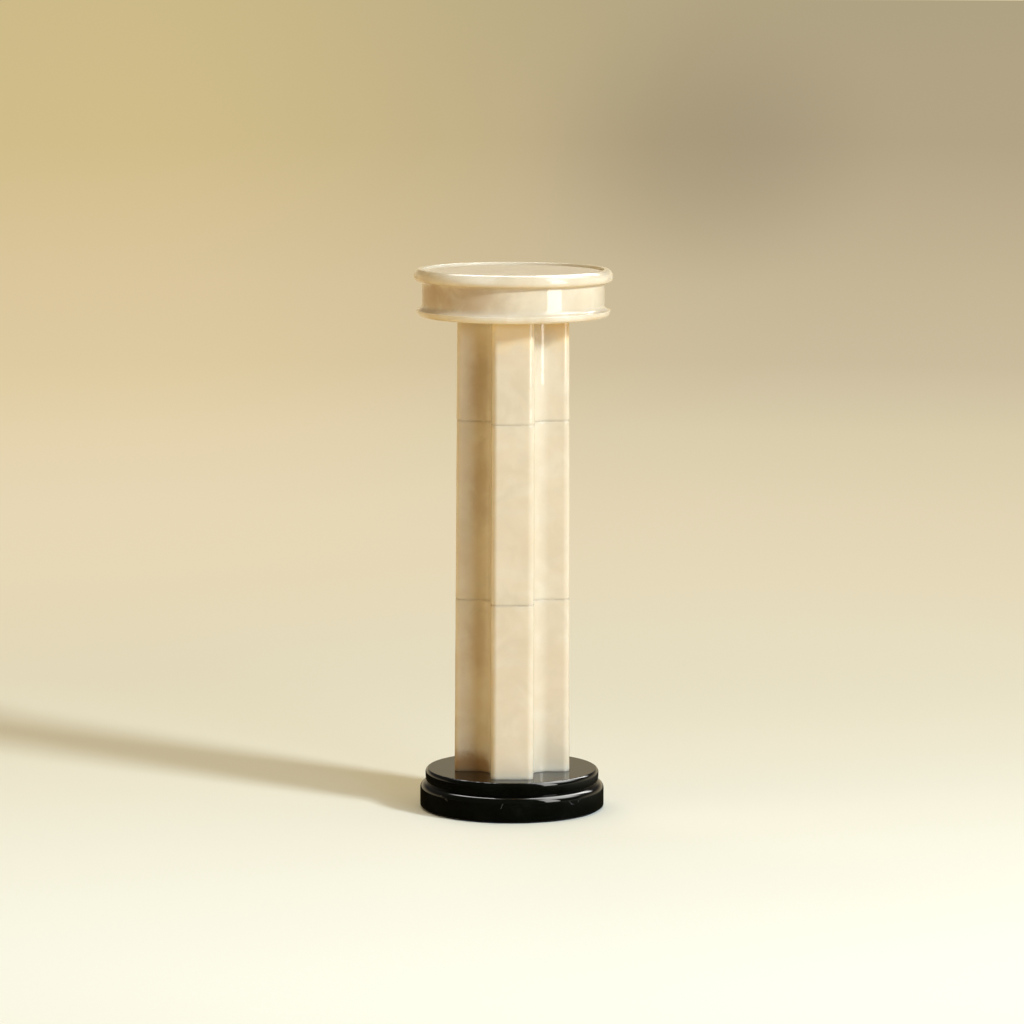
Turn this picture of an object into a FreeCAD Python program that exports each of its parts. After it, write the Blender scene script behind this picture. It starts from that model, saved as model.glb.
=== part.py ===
import FreeCAD, Part
import os
import Sketcher
from types import SimpleNamespace

# Column trophy: a cross-shaped onyx shaft of three drums on a two-tier marble base, under a
# turned onyx capital.  A threaded rod down the middle clamps the stones between two nuts,
# and steel dowels in every joint of the shaft stop them turning.
# The origin is the middle of the face that the trophy stands on; +Z is up the column,
# +X along the short arms of the cross and +Y along its long arms.

# Driving dimensions in millimetres: alias, value, what it sizes.
DRIVING_SIZES = (
    ("felt_thickness", 1.0, "felt pad under the base"),
    ("felt_inset", 2.0, "felt edge, in from the edge of the base"),
    ("base_lower_radius", 51.1, "lower base disc"),
    ("base_lower_height", 13.3, "lower base disc"),
    ("base_edge_chamfer", 0.5, "bottom edge of the lower base disc"),
    ("base_shoulder_inset", 2.7, "rounded shoulder of the lower disc, across"),
    ("base_shoulder_drop", 3.5, "rounded shoulder of the lower disc, down"),
    ("base_upper_radius", 48.2, "upper base disc at its widest"),
    ("base_foot_inset", 0.5, "upper disc, narrowing from its widest to its foot"),
    ("base_foot_height", 5.25, "upper disc, from its foot up to its widest"),
    ("base_top_inset", 1.4, "upper disc, rounded top edge, across"),
    ("base_top_drop", 2.4, "upper disc, rounded top edge, down"),
    ("drum_bottom_length", 96.15, "bottom drum of the shaft"),
    ("drum_middle_length", 99.0, "middle drum of the shaft"),
    ("drum_top_length", 56.6, "top drum of the shaft"),
    ("side_reach_foot", 31.9, "short arms, from the axis, at the foot of the shaft"),
    ("side_reach_head", 30.85, "short arms, from the axis, at the head of the shaft"),
    ("front_reach_foot", 36.2, "long arms, from the axis, at the foot of the shaft"),
    ("front_reach_head", 35.0, "long arms, from the axis, at the head of the shaft"),
    ("arm_width_foot", 23.7, "every arm, at the foot of the shaft"),
    ("arm_width_head", 23.2, "every arm, at the head of the shaft"),
    ("arm_corner_radius", 3.6, "rounded outer corners of the arms"),
    ("arm_root_radius", 8.0, "hollow corners between the arms"),
    ("joint_round", 0.9, "rounded rims of the drums, which make the joint grooves"),
    ("band_radius", 50.3, "plain band of the capital"),
    ("lip_overhang", 3.1, "lower rim of the capital, out from the band"),
    ("lip_inset", 2.8, "rounded underside of the lower rim, across"),
    ("lip_height", 3.5, "rounded underside of the lower rim, up"),
    ("lip_edge", 0.4, "upright edge of the lower rim"),
    ("cove_height", 3.4, "hollow from the lower rim to the band"),
    ("band_height", 11.0, "plain band"),
    ("rim_cove", 1.4, "small hollow under the top rim, across and up"),
    ("rim_overhang", 4.6, "top rim of the capital, out from the band"),
    ("bead_inset", 1.3, "rounded underside of the top rim, across"),
    ("bead_height", 2.2, "rounded underside of the top rim, up"),
    ("crest_inset", 2.5, "rounded slope from the rim to the crest, across"),
    ("crest_height", 4.4, "rounded slope from the rim to the crest, up"),
    ("crest_width", 2.7, "crest, from the slope to the recess"),
    ("crest_edge", 0.4, "eased inner edge of the crest"),
    ("recess_depth", 1.4, "shallow recess, from the crest to the inlay"),
    ("inlay_thickness", 3.0, "stone disc in the recess"),
    ("inlay_gap", 0.15, "round the inlay"),
    ("inlay_chamfer", 0.3, "upper edge of the inlay"),
    ("rod_radius", 3.0, "M6 tie rod"),
    ("rod_chamfer", 0.5, "ends of the tie rod"),
    ("rod_clearance", 0.5, "round the rod in the stones"),
    ("thread_clearance", 0.05, "round the rod in the nuts"),
    ("rod_protrusion", 1.2, "rod past each nut"),
    ("rod_end_gap", 0.6, "past each end of the rod"),
    ("pocket_clearance", 2.0, "round the washers in their pockets"),
    ("nut_width", 10.0, "M6 nuts across the flats"),
    ("nut_height", 5.2, "full nut on top"),
    ("thin_nut_height", 3.2, "thin nut underneath"),
    ("nut_corner_drop", 0.45, "chamfered corners of the nuts"),
    ("washer_radius", 9.0, "large washers and fibre washers"),
    ("washer_clearance", 0.2, "round the rod in the large washers and fibre washers"),
    ("washer_thickness", 1.6, "large steel washers"),
    ("fibre_thickness", 0.8, "fibre washers against the stone"),
    ("spring_radius", 5.9, "spring washer, outside"),
    ("spring_clearance", 0.05, "round the rod in the spring washer"),
    ("spring_thickness", 1.6, "spring washer, clamped flat"),
    ("dowel_radius", 1.5, "alignment dowels"),
    ("dowel_length", 10.0, "alignment dowels, half in each stone"),
    ("dowel_chamfer", 0.3, "ends of the dowels"),
    ("dowel_offset", 18.0, "dowels, from the axis"),
    ("dowel_clearance", 0.1, "round each dowel in the stones"),
    ("dowel_end_gap", 0.5, "past each end of a dowel"),
    ("cut_margin", 0.5, "nut corner cuts, past the corners"),
)
SPRING_TURN = 350.0  # degrees of the spring washer's ring; the rest is its split

doc = FreeCAD.newDocument("column_trophy")


class Size:
    """A length as the text of its expression and its value, so that sums keep both."""

    def __init__(self, text, value):
        self.text = text
        self.value = value

    def __add__(self, other):
        return Size(f"({self.text} + {other.text})", self.value + other.value)

    def __sub__(self, other):
        return Size(f"({self.text} - {other.text})", self.value - other.value)

    def __mul__(self, other):
        return Size(f"({self.text} * {other.text})", self.value * other.value)

    def __truediv__(self, other):
        return Size(f"({self.text} / {other.text})", self.value / other.value)


def write_sheet():
    """Write the driving sizes into the document's sheet and return them by name."""
    sheet = doc.addObject("Spreadsheet::Sheet", "Sizes")
    sizes = {}
    for row, (alias, value, meaning) in enumerate(DRIVING_SIZES, start=1):
        sheet.set(f"A{row}", alias)
        sheet.set(f"B{row}", str(value))
        sheet.set(f"C{row}", meaning)
        sheet.setAlias(f"B{row}", alias)
        sizes[alias] = Size(f"Sizes.{alias}", value)
    doc.recompute()
    return SimpleNamespace(**sizes)


size = write_sheet()
ZERO = Size("0", 0.0)
TWO = Size("2", 2.0)


# ---------------------------------------------------------------- places worked out from sizes

lower_disc_z = size.felt_thickness
upper_disc_z = lower_disc_z + size.base_lower_height
upper_disc_height = size.base_foot_height + size.base_top_drop
shaft_z = upper_disc_z + upper_disc_height
middle_drum_z = shaft_z + size.drum_bottom_length
top_drum_z = middle_drum_z + size.drum_middle_length
capital_z = top_drum_z + size.drum_top_length
shaft_length = size.drum_bottom_length + size.drum_middle_length + size.drum_top_length

bore_radius = size.rod_radius + size.rod_clearance
pocket_radius = size.washer_radius + size.pocket_clearance
dowel_hole_radius = size.dowel_radius + size.dowel_clearance
dowel_hole_depth = size.dowel_length / TWO + size.dowel_end_gap

# heights of the capital's mouldings above its underside
cove_z = size.lip_height + size.lip_edge
band_z = cove_z + size.cove_height
rim_cove_z = band_z + size.band_height
rim_z = rim_cove_z + size.rim_cove
rim_tip_z = rim_z + size.bead_height
crest_z = rim_tip_z + size.crest_height
recess_radius = size.band_radius + size.rim_overhang - size.crest_inset - size.crest_width
inlay_z = crest_z - size.recess_depth - size.inlay_thickness

# the clamped stacks, from the stone outwards
rod_tail = size.rod_protrusion + size.rod_end_gap
washer_stack = size.fibre_thickness + size.washer_thickness
top_stack = washer_stack + size.nut_height
bottom_stack = washer_stack + size.spring_thickness + size.thin_nut_height
top_pocket_z = inlay_z - top_stack - rod_tail
bottom_pocket_depth = bottom_stack + rod_tail

bottom_seat_z = lower_disc_z + bottom_pocket_depth
top_seat_z = capital_z + top_pocket_z
rod_foot_z = lower_disc_z + size.rod_end_gap
rod_length = top_seat_z + top_stack + size.rod_protrusion - rod_foot_z


# ---------------------------------------------------------------- drawing helpers

def bind(thing, path, length):
    """Tie one property of an object to the expression of a length."""
    thing.setExpression(path, length.text)


def make_body(name, height):
    """Start a sub-part whose own underside lies at the given height."""
    body = doc.addObject("PartDesign::Body", name)
    body.Label = name
    bind(body, "Placement.Base.z", height)
    return body


def make_feature(body, kind, name, **links):
    """Add a feature to a body and set its properties."""
    feature = body.newObject(f"PartDesign::{kind}", f"{body.Label}_{name}")
    for key, value in links.items():
        setattr(feature, key, value)
    return feature


def make_sketch(body, name, role="XY_Plane", height=ZERO):
    """Lay a sketch on one of the body's origin planes, raised by a height along its normal."""
    sketch = body.newObject("Sketcher::SketchObject", f"{body.Label}_{name}")
    plane = next(item for item in body.Origin.OriginFeatures if item.Role == role)
    sketch.AttachmentSupport = (plane, "")
    sketch.MapMode = "FlatFace"
    if height is not ZERO:
        bind(sketch, "AttachmentOffset.Base.z", height)
    return sketch


def constrain(sketch, kind, *where, length):
    """Add a constraint that carries a size, and tie it to that size."""
    index = sketch.addConstraint(Sketcher.Constraint(kind, *where, length.value))
    bind(sketch, f"Constraints[{index}]", length)


def hold_point(sketch, edge, end, across, up, left=False):
    """Fix a point at two distances from the origin; a zero distance puts it on the axis."""
    for kind, axis, length, backwards in (
        ("DistanceX", -2, across, left),
        ("DistanceY", -1, up, False),
    ):
        if length is ZERO:
            sketch.addConstraint(Sketcher.Constraint("PointOnObject", edge, end, axis))
        elif backwards:
            constrain(sketch, kind, edge, end, -1, 1, length=length)
        else:
            constrain(sketch, kind, -1, 1, edge, end, length=length)


def arc_between(start, end, radius, hollow):
    """The shorter arc from start to end; it bows to the right of that way, or left if hollow."""
    chord = end - start
    side = FreeCAD.Vector(chord.y, -chord.x, 0).normalize()
    if hollow:
        side = side.negative()
    half = chord.Length / 2
    rise = radius - (radius ** 2 - half ** 2) ** 0.5
    return Part.Arc(start, start + chord / 2 + side * rise, end)


def draw_outline(sketch, corners, arcs=()):
    """Draw a closed outline, anticlockwise, through corners given as (across, up).

    arcs holds (corner number, radius, hollow) for each edge that is an arc and not a line.
    """
    points = [FreeCAD.Vector(across.value, up.value, 0) for across, up in corners]
    bends = {number: (radius, hollow) for number, radius, hollow in arcs}
    ends = []
    for number, start in enumerate(points):
        end = points[(number + 1) % len(points)]
        if number in bends:
            radius, hollow = bends[number]
            edge = sketch.addGeometry(arc_between(start, end, radius.value, hollow))
            constrain(sketch, "Radius", edge, length=radius)
        else:
            edge = sketch.addGeometry(Part.LineSegment(start, end))
        starts_first = sketch.getPoint(edge, 1).distanceToPoint(start) < 1e-6
        ends.append((edge, 1, 2) if starts_first else (edge, 2, 1))
    for number, (edge, first, last) in enumerate(ends):
        next_edge, next_first, _ = ends[(number + 1) % len(ends)]
        sketch.addConstraint(Sketcher.Constraint("Coincident", edge, last, next_edge, next_first))
        hold_point(sketch, edge, first, *corners[number])


def bow_radius(across, up):
    """Radius of an arc that leaves an upright face square to it and ends so far across and up."""
    return (across * across + up * up) / (TWO * across)


def turn(body, corners, arcs=(), angle=360.0):
    """Turn a half profile, in the upright plane, about the body's own axis."""
    sketch = make_sketch(body, "profile", "XZ_Plane")
    draw_outline(sketch, corners, arcs)
    return make_feature(
        body, "Revolution", "turned", Profile=sketch, ReferenceAxis=(sketch, ["V_Axis"]), Angle=angle
    )


def turn_ring(body, inner, outer, height, angle=360.0):
    """Turn a plain ring."""
    return turn(body, ((inner, ZERO), (outer, ZERO), (outer, height), (inner, height)), angle=angle)


def draw_circle(sketch, radius, offset=ZERO, left=False):
    """Draw a circle on the X axis, so far from the origin."""
    centre = FreeCAD.Vector(-offset.value if left else offset.value, 0, 0)
    circle = sketch.addGeometry(Part.Circle(centre, FreeCAD.Vector(0, 0, 1), radius.value))
    constrain(sketch, "Radius", circle, length=radius)
    hold_point(sketch, circle, 3, offset, ZERO, left)
    return circle


def cut_dowel_holes(body, at_top, height=ZERO):
    """Cut the pair of blind dowel holes into one end of a stone."""
    name = "top_dowel" if at_top else "foot_dowel"
    sketch = make_sketch(body, f"{name}_circles", height=height)
    for left in (False, True):
        draw_circle(sketch, dowel_hole_radius, size.dowel_offset, left)
    pocket = make_feature(body, "Pocket", f"{name}_holes", Profile=sketch, Reversed=not at_top)
    bind(pocket, "Length", dowel_hole_depth)


def round_edges(body, name, radius, base, chosen):
    """Round the chosen edges of a feature's solid."""
    fillet = make_feature(body, "Fillet", name, Base=(base, chosen))
    bind(fillet, "Radius", radius)
    return fillet


def edge_names(shape, wanted):
    """Names of the shape's edges for which wanted says yes."""
    return [f"Edge{number}" for number, edge in enumerate(shape.Edges, start=1) if wanted(edge)]


# ---------------------------------------------------------------- felt and base

def build_felt_pad():
    body = make_body("felt_pad", ZERO)
    turn_ring(body, ZERO, size.base_lower_radius - size.felt_inset, size.felt_thickness)


def build_base_lower_disc():
    body = make_body("base_lower_disc", lower_disc_z)
    radius = size.base_lower_radius
    height = size.base_lower_height
    corners = (
        (pocket_radius, ZERO),
        (radius - size.base_edge_chamfer, ZERO),
        (radius, size.base_edge_chamfer),
        (radius, height - size.base_shoulder_drop),
        (radius - size.base_shoulder_inset, height),
        (bore_radius, height),
        (bore_radius, bottom_pocket_depth),
        (pocket_radius, bottom_pocket_depth),
    )
    shoulder = bow_radius(size.base_shoulder_inset, size.base_shoulder_drop)
    turn(body, corners, ((3, shoulder, False),))


def build_base_upper_disc():
    body = make_body("base_upper_disc", upper_disc_z)
    radius = size.base_upper_radius
    corners = (
        (bore_radius, ZERO),
        (radius - size.base_foot_inset, ZERO),
        (radius, size.base_foot_height),
        (radius - size.base_top_inset, upper_disc_height),
        (bore_radius, upper_disc_height),
    )
    foot = bow_radius(size.base_foot_inset, size.base_foot_height)
    top_edge = bow_radius(size.base_top_inset, size.base_top_drop)
    turn(body, corners, ((1, foot, False), (2, top_edge, False)))
    doc.recompute()
    cut_dowel_holes(body, True, upper_disc_height)


# ---------------------------------------------------------------- shaft

def part_way(foot, head, height):
    """A size of the shaft that changes evenly from its foot to its head."""
    return foot + (head - foot) * height / shaft_length


def add_bar(body, name, length, foot, head):
    """A straight bar through the axis that tapers evenly: foot and head are its half sizes."""
    plane = next(item for item in body.Origin.OriginFeatures if item.Role == "XZ_Plane")
    bar = make_feature(
        body, "AdditiveWedge", name, AttachmentSupport=(plane, ""), MapMode="FlatFace"
    )
    # in the upright plane the wedge's own Y runs up the drum and its Z runs along -Y
    (foot_x, foot_y), (head_x, head_y) = foot, head
    for key, half in (("X", foot_x), ("Z", foot_y), ("X2", head_x), ("Z2", head_y)):
        bind(bar, f"{key}min", ZERO - half)
        bind(bar, f"{key}max", half)
    bind(bar, "Ymin", ZERO)
    bind(bar, "Ymax", length)
    return bar


def is_upright(edge):
    """True for the edges that run up the drum."""
    return abs(edge.tangentAt(edge.FirstParameter).z) > 0.9


def is_root(edge, half_width):
    """True for the upright edges where two arms meet, half an arm's width from both planes."""
    foot = min((vertex.Point for vertex in edge.Vertexes), key=lambda point: point.z)
    return all(abs(abs(place) - half_width.value) < 1e-3 for place in (foot.x, foot.y))


def build_drum(name, height, length):
    """One drum: two crossed bars with rounded corners, eased rims, a bore and dowel holes."""
    body = make_body(name, height)
    levels = (height - shaft_z, height - shaft_z + length)
    side = [part_way(size.side_reach_foot, size.side_reach_head, level) for level in levels]
    front = [part_way(size.front_reach_foot, size.front_reach_head, level) for level in levels]
    half = [part_way(size.arm_width_foot, size.arm_width_head, level) / TWO for level in levels]
    add_bar(body, "side_bar", length, (side[0], half[0]), (side[1], half[1]))
    cross = add_bar(body, "front_bar", length, (half[0], front[0]), (half[1], front[1]))
    doc.recompute()
    corners = edge_names(
        cross.Shape, lambda edge: is_upright(edge) and not is_root(edge, half[0])
    )
    rounded = round_edges(body, "corners", size.arm_corner_radius, cross, corners)
    doc.recompute()
    roots = edge_names(rounded.Shape, lambda edge: is_upright(edge) and is_root(edge, half[0]))
    hollowed = round_edges(body, "roots", size.arm_root_radius, rounded, roots)
    doc.recompute()
    rims = edge_names(hollowed.Shape, lambda edge: not is_upright(edge))
    round_edges(body, "rims", size.joint_round, hollowed, rims)

    circle = make_sketch(body, "bore_circle")
    draw_circle(circle, bore_radius)
    make_feature(body, "Pocket", "bore", Profile=circle, Type="ThroughAll", Reversed=True)
    cut_dowel_holes(body, False)
    cut_dowel_holes(body, True, length)


# ---------------------------------------------------------------- capital

def build_capital():
    body = make_body("capital", capital_z)
    band = size.band_radius
    lip = band + size.lip_overhang
    rim = band + size.rim_overhang
    crest = rim - size.crest_inset
    corners = (
        (bore_radius, ZERO),
        (lip - size.lip_inset, ZERO),
        (lip, size.lip_height),
        (lip, cove_z),
        (band, band_z),
        (band, rim_cove_z),
        (band + size.rim_cove, rim_z),
        (rim - size.bead_inset, rim_z),
        (rim, rim_tip_z),
        (crest, crest_z),
        (recess_radius + size.crest_edge, crest_z),
        (recess_radius, crest_z - size.crest_edge),
        (recess_radius, inlay_z),
        (pocket_radius, inlay_z),
        (pocket_radius, top_pocket_z),
        (bore_radius, top_pocket_z),
    )
    arcs = (
        (1, bow_radius(size.lip_inset, size.lip_height), False),
        (3, bow_radius(size.lip_overhang, size.cove_height), True),
        (5, size.rim_cove, True),
        (7, bow_radius(size.bead_inset, size.bead_height), False),
        (8, bow_radius(size.crest_inset, size.crest_height), False),
        (10, size.crest_edge, False),
    )
    turn(body, corners, arcs)
    doc.recompute()
    cut_dowel_holes(body, False)


def build_inlay():
    body = make_body("capital_inlay_disc", capital_z + inlay_z)
    radius = recess_radius - size.inlay_gap
    corners = (
        (ZERO, ZERO),
        (radius, ZERO),
        (radius, size.inlay_thickness - size.inlay_chamfer),
        (radius - size.inlay_chamfer, size.inlay_thickness),
        (ZERO, size.inlay_thickness),
    )
    turn(body, corners)


# ---------------------------------------------------------------- tie rod and fasteners

def build_tie_rod():
    body = make_body("tie_rod", rod_foot_z)
    radius = size.rod_radius
    chamfer = size.rod_chamfer
    corners = (
        (ZERO, ZERO),
        (radius - chamfer, ZERO),
        (radius, chamfer),
        (radius, rod_length - chamfer),
        (radius - chamfer, rod_length),
        (ZERO, rod_length),
    )
    turn(body, corners)


def draw_hexagon(sketch, corner_radius):
    """Draw a regular hexagon on a construction circle, with two corners on the X axis."""
    circle = draw_circle(sketch, corner_radius)
    sketch.toggleConstruction(circle)
    spoke = FreeCAD.Vector(corner_radius.value, 0, 0)
    axis = FreeCAD.Vector(0, 0, 1)
    corners = [FreeCAD.Rotation(axis, 60 * step).multVec(spoke) for step in range(6)]
    sides = [
        sketch.addGeometry(Part.LineSegment(corner, corners[(step + 1) % 6]))
        for step, corner in enumerate(corners)
    ]
    for step, side in enumerate(sides):
        sketch.addConstraint(Sketcher.Constraint("Coincident", side, 2, sides[(step + 1) % 6], 1))
        sketch.addConstraint(Sketcher.Constraint("PointOnObject", side, 1, circle))
    for side in sides[1:]:
        sketch.addConstraint(Sketcher.Constraint("Equal", sides[0], side))
    sketch.addConstraint(Sketcher.Constraint("PointOnObject", sides[0], 1, -1))


def build_nut(name, height, thickness):
    """A hexagon nut: a bored prism whose corners are cut back by a cone at both ends."""
    body = make_body(name, height)
    flat = size.nut_width / TWO
    corner = Size(f"({size.nut_width.text} / sqrt(3))", size.nut_width.value / 3 ** 0.5)
    hexagon = make_sketch(body, "hexagon")
    draw_hexagon(hexagon, corner)
    draw_circle(hexagon, size.rod_radius + size.thread_clearance)
    prism = make_feature(body, "Pad", "prism", Profile=hexagon)
    bind(prism, "Length", thickness)
    doc.recompute()
    outside = corner + size.cut_margin
    cone_drop = size.nut_corner_drop * (outside - flat) / (corner - flat)
    cuts = (
        ("foot", (flat, ZERO), (outside, ZERO), (outside, cone_drop)),
        ("head", (flat, thickness), (outside, thickness - cone_drop), (outside, thickness)),
    )
    for end, *triangle in cuts:
        sketch = make_sketch(body, f"{end}_corner_cut", "XZ_Plane")
        draw_outline(sketch, triangle)
        make_feature(
            body, "Groove", f"{end}_corners", Profile=sketch, ReferenceAxis=(sketch, ["V_Axis"])
        )


def build_washer(name, height, inner, outer, thickness, angle=360.0):
    body = make_body(name, height)
    turn_ring(body, inner, outer, thickness, angle)


def build_fasteners():
    """Both clamped stacks, from the stone outwards, and the nuts that close them."""
    hole = size.rod_radius + size.washer_clearance
    outer = size.washer_radius
    top_washer_z = top_seat_z + size.fibre_thickness
    build_washer("top_fibre_washer", top_seat_z, hole, outer, size.fibre_thickness)
    build_washer("top_washer", top_washer_z, hole, outer, size.washer_thickness)
    build_nut("top_nut", top_seat_z + washer_stack, size.nut_height)

    fibre_z = bottom_seat_z - size.fibre_thickness
    washer_z = bottom_seat_z - washer_stack
    spring_z = washer_z - size.spring_thickness
    build_washer("bottom_fibre_washer", fibre_z, hole, outer, size.fibre_thickness)
    build_washer("bottom_washer", washer_z, hole, outer, size.washer_thickness)
    build_washer(
        "bottom_spring_washer", spring_z, size.rod_radius + size.spring_clearance,
        size.spring_radius, size.spring_thickness, SPRING_TURN,
    )
    build_nut("bottom_nut", spring_z - size.thin_nut_height, size.thin_nut_height)


def build_dowels():
    """A pair of dowels across each joint of the shaft, eight alike in one sub-part."""
    body = make_body("alignment_dowels", ZERO)
    body.AllowCompound = True
    for number, joint in enumerate((shaft_z, middle_drum_z, top_drum_z, capital_z), start=1):
        foot = joint - size.dowel_length / TWO
        sketch = make_sketch(body, f"pair_{number}_circles", height=foot)
        for left in (False, True):
            draw_circle(sketch, size.dowel_radius, size.dowel_offset, left)
        pair = make_feature(body, "Pad", f"pair_{number}", Profile=sketch)
        bind(pair, "Length", size.dowel_length)
        doc.recompute()
    rims = edge_names(pair.Shape, lambda edge: edge.Closed)
    chamfer = make_feature(body, "Chamfer", "ends", Base=(pair, rims))
    bind(chamfer, "Size", size.dowel_chamfer)


# ---------------------------------------------------------------- assembly

def check_document():
    """Stop if any object failed or any sub-part has no sound solid."""
    for item in doc.Objects:
        faults = {"Invalid", "Error"}.intersection(item.State)
        if faults:
            raise RuntimeError(f"{item.Name} is {', '.join(sorted(faults))}")
    for body in sub_parts():
        if body.Shape.isNull() or not body.Shape.isValid() or not body.Shape.Solids:
            raise RuntimeError(f"{body.Label} has no sound solid")


def sub_parts():
    return [item for item in doc.Objects if item.TypeId == "PartDesign::Body"]


def write_parts():
    """Write each sub-part to a STEP file of its own name."""
    os.makedirs("parts", exist_ok=True)
    for body in sub_parts():
        body.Shape.exportStep(f"parts/{body.Label}.step")
        print(f"{body.Label}: {len(body.Shape.Solids)} solid(s), {body.Shape.Volume:.1f} mm3")


build_felt_pad()
build_base_lower_disc()
build_base_upper_disc()
build_drum("shaft_drum_bottom", shaft_z, size.drum_bottom_length)
build_drum("shaft_drum_middle", middle_drum_z, size.drum_middle_length)
build_drum("shaft_drum_top", top_drum_z, size.drum_top_length)
build_capital()
build_inlay()
build_tie_rod()
build_fasteners()
build_dowels()
doc.recompute()
check_document()
write_parts()
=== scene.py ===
import math

import bpy
import numpy as np
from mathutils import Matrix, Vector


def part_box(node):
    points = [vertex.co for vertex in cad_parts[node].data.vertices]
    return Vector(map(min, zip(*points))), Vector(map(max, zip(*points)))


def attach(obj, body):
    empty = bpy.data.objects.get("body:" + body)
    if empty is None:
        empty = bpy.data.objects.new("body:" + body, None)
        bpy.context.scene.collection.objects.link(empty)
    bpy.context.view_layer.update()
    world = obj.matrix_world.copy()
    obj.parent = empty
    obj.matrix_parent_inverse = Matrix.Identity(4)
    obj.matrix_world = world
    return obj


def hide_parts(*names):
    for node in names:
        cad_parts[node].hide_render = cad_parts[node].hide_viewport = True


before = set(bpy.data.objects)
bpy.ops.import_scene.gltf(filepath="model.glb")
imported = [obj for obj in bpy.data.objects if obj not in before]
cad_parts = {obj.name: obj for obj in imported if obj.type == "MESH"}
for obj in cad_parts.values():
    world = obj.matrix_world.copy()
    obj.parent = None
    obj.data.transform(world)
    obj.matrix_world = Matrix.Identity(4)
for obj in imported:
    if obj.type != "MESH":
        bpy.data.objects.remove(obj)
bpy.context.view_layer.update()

# Column trophy.  Three drums of polished cream onyx with a cross-shaped section stand on two
# turned discs of black marble and carry a turned onyx capital with a shallow inlaid recess.
# Every stone is a surface worked out with numpy between the heights that the frame gives; the
# felt and the hidden fasteners are the frame's own solids with better finishes.
# Everything is in metres: +Z up the column, +X along the short arms, +Y along the long arms.


def level(node, end):
    """Height of the foot (end 0) or the head (end 1) of a piece, from the frame."""
    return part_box(node)[end].z


def reach(node):
    """How far a piece reaches from the column's axis along X, from the frame."""
    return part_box(node)[1].x


# ---------------------------------------------------------------- sizes

# base discs
LOWER_DISC_CHAMFER = 0.0005
SHOULDER_INSET = 0.0027
SHOULDER_DROP = 0.0035
UPPER_DISC_FOOT_INSET = 0.0005
UPPER_DISC_FOOT_HEIGHT = 0.00525
TOP_EDGE_INSET = 0.0014

# shaft
SIDE_REACH = (0.0319, 0.03085)      # short arms at the foot and at the head of the whole shaft
FRONT_REACH = (0.0362, 0.0350)      # long arms
ARM_HALF_WIDTH = (0.01185, 0.0116)
ARM_CORNER_RADIUS = 0.0036
ARM_ROOT_RADIUS = 0.0080
JOINT_ROUND = 0.0009
BORE_RADIUS = 0.0035
POLISHING_HOLLOW = 0.00018          # deepest that hand polishing leaves a face hollow

# capital
BAND_RADIUS = 0.0503
LIP_OVERHANG = 0.0031
LIP_INSET = 0.0028
LIP_HEIGHT = 0.0035
LIP_EDGE = 0.0004
COVE_HEIGHT = 0.0034
BAND_HEIGHT = 0.0110
RIM_COVE = 0.0014
RIM_OVERHANG = 0.0046
BEAD_INSET = 0.0013
BEAD_HEIGHT = 0.0022
CREST_INSET = 0.0025
RECESS_RADIUS = 0.0497
CREST_EDGE = 0.0004
POCKET_RADIUS = 0.0110
INLAY_CHAMFER = 0.0003

# films of resin: edges from the joint's plane, how far in the film lies, and its hollow
JOINT_FILM = (-0.00028, 0.00028, 0.00024)
FOOT_FILM = (-0.00002, 0.00042, 0.00014)
FILM_HOLLOW = 0.00004
FILM_ROOT_INSET = 0.0008

# how finely the stones are cut
TURNED_STEPS = 288
ARC_STEPS = 14
FACE_STEPS = 9
DRUM_ROWS = 64
EDGE_EASE = 0.00022

SHAFT_FOOT = level("shaft_drum_bottom", 0)
SHAFT_HEAD = level("shaft_drum_top", 1)
DRUMS = ("shaft_drum_bottom", "shaft_drum_middle", "shaft_drum_top")

# the block that each stone is cut from: its number shifts the clouds in the stone
BLOCKS = {
    "base_lower_disc": 1.0, "base_upper_disc": 2.0, "shaft_drum_bottom": 3.0,
    "shaft_drum_middle": 4.0, "shaft_drum_top": 5.0, "capital": 6.0, "capital_inlay_disc": 7.0,
}


# ---------------------------------------------------------------- mesh helpers

def closed_grid(points, name):
    """A mesh from a grid of points that closes on itself both ways.

    points[i, j] is step i round the column and step j along a loop that runs from the underside,
    up the outside, and back down the middle, so that every face looks outwards.
    """
    around, along = points.shape[:2]
    index = np.arange(around * along).reshape(around, along)
    right = np.roll(index, -1, axis=0)
    quads = np.stack(
        [index, right, np.roll(right, -1, axis=1), np.roll(index, -1, axis=1)], axis=-1
    )
    mesh = bpy.data.meshes.new(name)
    mesh.from_pydata(points.reshape(-1, 3).tolist(), [], quads.reshape(-1, 4).tolist())
    return mesh


def add_piece(name, mesh, material, replaced):
    """Put a mesh in the scene as a smooth-shaded piece, with its block's number on every vertex.

    replaced names the node of the frame that the piece stands for, if it stands for one.
    """
    if name in BLOCKS:
        block = mesh.attributes.new("block", "FLOAT", "POINT")
        number = np.full(len(mesh.vertices), BLOCKS[name], dtype=np.float32)
        block.data.foreach_set("value", number)
    piece = bpy.data.objects.new(name, mesh)
    bpy.context.scene.collection.objects.link(piece)
    mesh.materials.append(material)
    mesh.shade_smooth()
    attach(piece, "root")
    if replaced:
        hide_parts(replaced)
    return piece


def ease_edges(piece, width):
    """Round the sharp edges of a piece a little, and keep its flats flat in the shading."""
    bevel = piece.modifiers.new("eased_edges", "BEVEL")
    bevel.width = width
    bevel.segments = 3
    bevel.limit_method = "ANGLE"
    bevel.angle_limit = math.radians(28)
    bevel.harden_normals = True


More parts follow.
